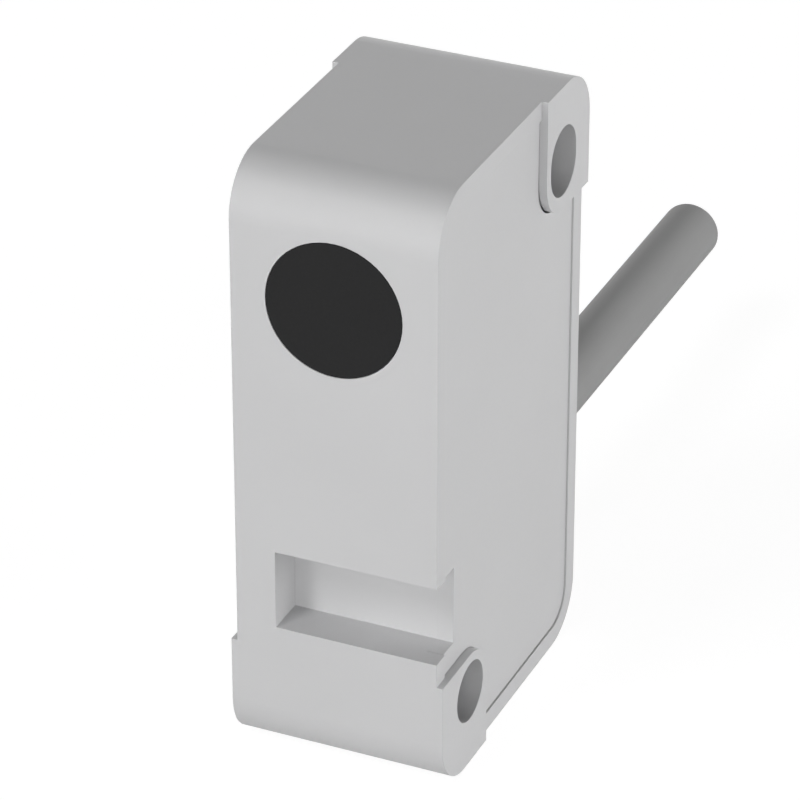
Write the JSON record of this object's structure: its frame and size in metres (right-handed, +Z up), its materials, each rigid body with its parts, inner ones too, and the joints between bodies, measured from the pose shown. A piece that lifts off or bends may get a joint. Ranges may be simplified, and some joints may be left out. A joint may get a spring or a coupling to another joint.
{
  "type": "inductive proximity sensor",
  "caption": "Slim block inductive proximity sensor with a round black sensing face, diagonal raised screw bosses, an open-sided front recess and a straight cable stub at the rear.",
  "frame": {"origin": "centre of the housing's flat bottom face, half-way between its sides and half-way between its front and rear faces", "axes": "+Z up the tall side, from the bottom face to the top; -Y out of the sensing face; +Y along the cable; +X out of the side with the cover"},
  "size_m": [0.0102, 0.0439, 0.029],
  "materials": {
    "housing_plastic": "moulded light-grey PBT, fine matte",
    "face_plastic": "moulded black plastic, smooth satin",
    "cable_sheath": "extruded grey PVC jacket, matte",
    "brown_core": "extruded brown PVC insulation",
    "blue_core": "extruded blue PVC insulation",
    "black_core": "extruded black PVC insulation",
    "copper": "bright stranded and enamelled copper wire",
    "ferrite": "sintered dark grey ferrite",
    "bobbin_plastic": "moulded natural plastic",
    "board_laminate": "glass-epoxy laminate with green solder mask",
    "chip_epoxy": "moulded black epoxy",
    "tinned_metal": "tin plating and solder",
    "capacitor_ceramic": "fired tan ceramic",
    "crimp_brass": "nickel-free brass, crimped",
    "resin": "cast dark potting resin"
  },
  "bodies": {
    "root": {"housing": "housing_plastic", "side_cover": "housing_plastic", "sensing_face_cap": "face_plastic", "ferrite_core": "ferrite", "coil_bobbin": "bobbin_plastic", "coil_winding": "copper", "coil_start_lead": "copper", "coil_finish_lead": "copper", "coil_solder_joints": "tinned_metal", "circuit_board": "board_laminate", "controller_chip": "chip_epoxy", "controller_chip_pins": "tinned_metal", "output_transistor": "chip_epoxy", "output_transistor_pins": "tinned_metal", "protection_diodes": "chip_epoxy", "chip_capacitors": "capacitor_ceramic", "chip_resistors": "chip_epoxy", "wire_solder_joints": "tinned_metal", "cable_jacket": "cable_sheath", "cable_crimp_ring": "crimp_brass", "brown_insulation": "brown_core", "blue_insulation": "blue_core", "black_insulation": "black_core", "brown_copper": "copper", "blue_copper": "copper", "black_copper": "copper", "potting_compound": "resin"}
  },
  "joints": []
}
